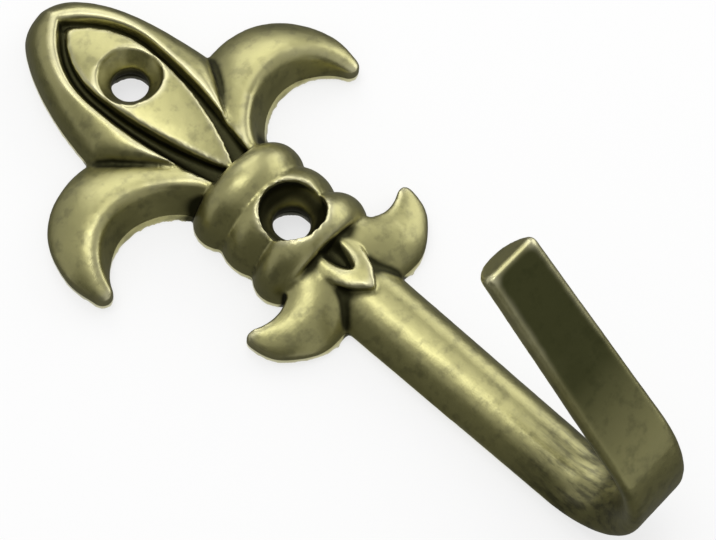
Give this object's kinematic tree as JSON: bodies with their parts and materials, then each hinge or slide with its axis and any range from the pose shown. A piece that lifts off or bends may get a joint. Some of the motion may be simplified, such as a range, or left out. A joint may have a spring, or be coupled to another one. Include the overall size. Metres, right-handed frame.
{
  "type": "curtain tieback hook",
  "caption": "Cast wall hook with an ornamental petal head and a bent arm that holds a curtain tieback.",
  "frame": {"origin": "midway between the two screw holes, on the flat back", "axes": "+Y up along the hook towards the tip of the middle petal, +Z out of the wall, +X to the right seen from the front"},
  "size_m": [0.0462, 0.098, 0.0374],
  "materials": {
    "antique_brass": "satin antique brass with near-black patina in the recesses and bright worn ridges"
  },
  "bodies": {
    "root": {"tieback_hook": "antique_brass"}
  },
  "joints": []
}
